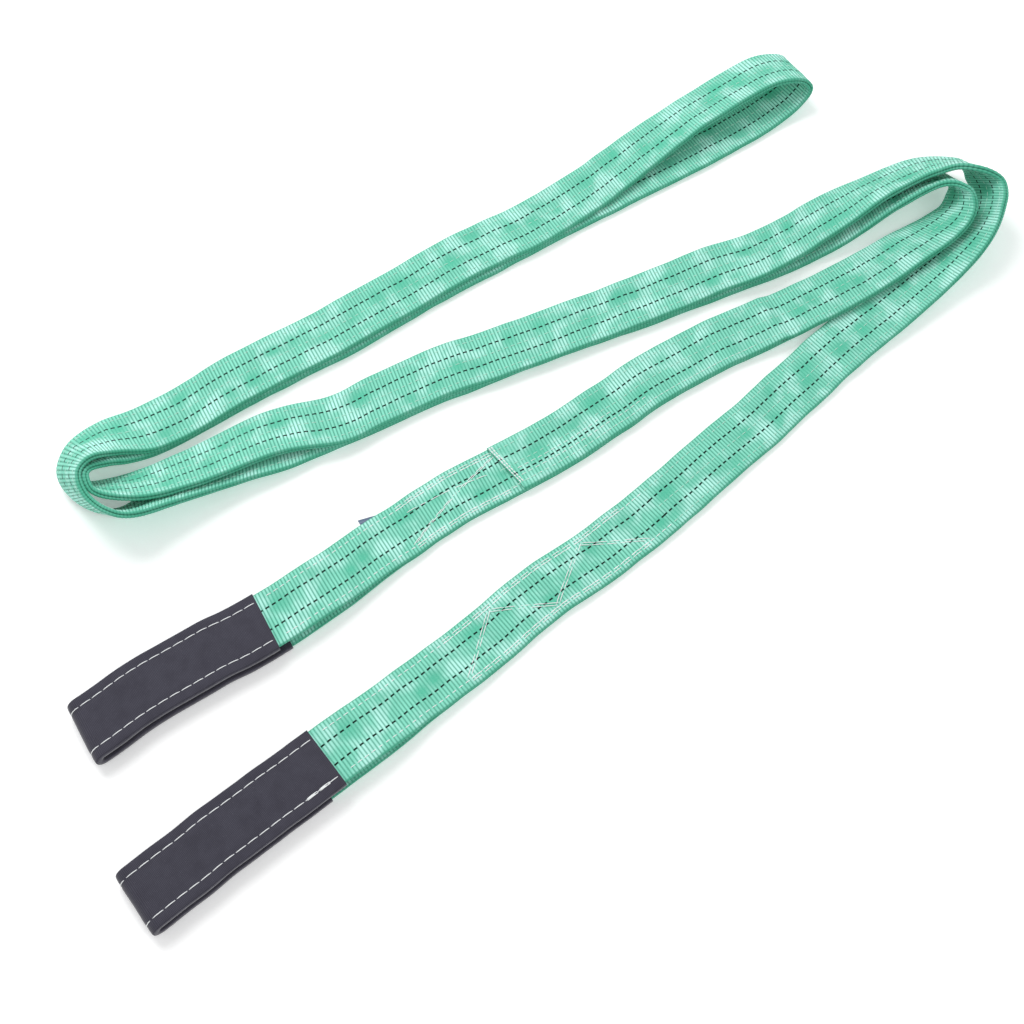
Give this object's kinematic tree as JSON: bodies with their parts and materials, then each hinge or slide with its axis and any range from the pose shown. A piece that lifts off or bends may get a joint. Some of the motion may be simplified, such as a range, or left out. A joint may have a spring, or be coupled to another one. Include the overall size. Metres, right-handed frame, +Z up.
{
  "type": "flat web sling",
  "caption": "Two-ply flat webbing lifting sling with a fabric-sleeved loop eye at each end, folded in half and laid out in an S.",
  "frame": {"origin": "on the floor under the centre of the laid-out sling's bounding box", "axes": "+Z up from the floor; +X along the long passes towards the right bends; +Y from the eyes towards the mid fold"},
  "size_m": [0.9556, 0.971, 0.0616],
  "materials": {
    "webbing": "ribbed woven polyester, light green, with two dashed marker lines",
    "sleeve": "fine plain weave, dark grey",
    "thread": "white sewing thread",
    "label": "satin woven label, blue"
  },
  "bodies": {
    "strap": {"strand_a_face_ply": "webbing", "strand_a_back_ply": "webbing", "right_bend_a_face_ply": "webbing", "right_bend_a_back_ply": "webbing", "middle_pass_a_face_ply": "webbing", "middle_pass_a_back_ply": "webbing", "left_bend_a_face_ply": "webbing", "left_bend_a_back_ply": "webbing", "upper_pass_a_face_ply": "webbing", "upper_pass_a_back_ply": "webbing", "mid_fold_face_ply": "webbing", "mid_fold_back_ply": "webbing", "upper_pass_b_face_ply": "webbing", "upper_pass_b_back_ply": "webbing", "left_bend_b_face_ply": "webbing", "left_bend_b_back_ply": "webbing", "middle_pass_b_face_ply": "webbing", "middle_pass_b_back_ply": "webbing", "right_bend_b_face_ply": "webbing", "right_bend_b_back_ply": "webbing", "strand_b_face_ply": "webbing", "strand_b_back_ply": "webbing", "lap_ply": "webbing", "splice_stitch_a": "thread", "lap_end_stitch": "thread", "splice_stitch_b": "thread"},
    "eye_a": {"eye_a_web": "webbing", "eye_a_lining": "webbing", "eye_a_sleeve": "sleeve", "eye_a_sleeve_seam_near": "thread", "eye_a_sleeve_seam_far": "thread", "label": "label"},
    "eye_b": {"eye_b_web": "webbing", "eye_b_lining": "webbing", "eye_b_sleeve": "sleeve", "eye_b_sleeve_seam_near": "thread", "eye_b_sleeve_seam_far": "thread"}
  },
  "joints": [
    {"name": "eye_a_lift", "type": "hinge", "parent": "strap", "child": "eye_a", "pos_m": [-0.13093, -0.09847, 0.00703], "axis": [-0.5174, 0.8557, 0], "range_deg": [0, 90]},
    {"name": "eye_b_lift", "type": "hinge", "parent": "strap", "child": "eye_b", "pos_m": [-0.09976, -0.25091, 0.0073], "axis": [-0.6193, 0.785, -0.0131], "range_deg": [0, 90]}
  ]
}
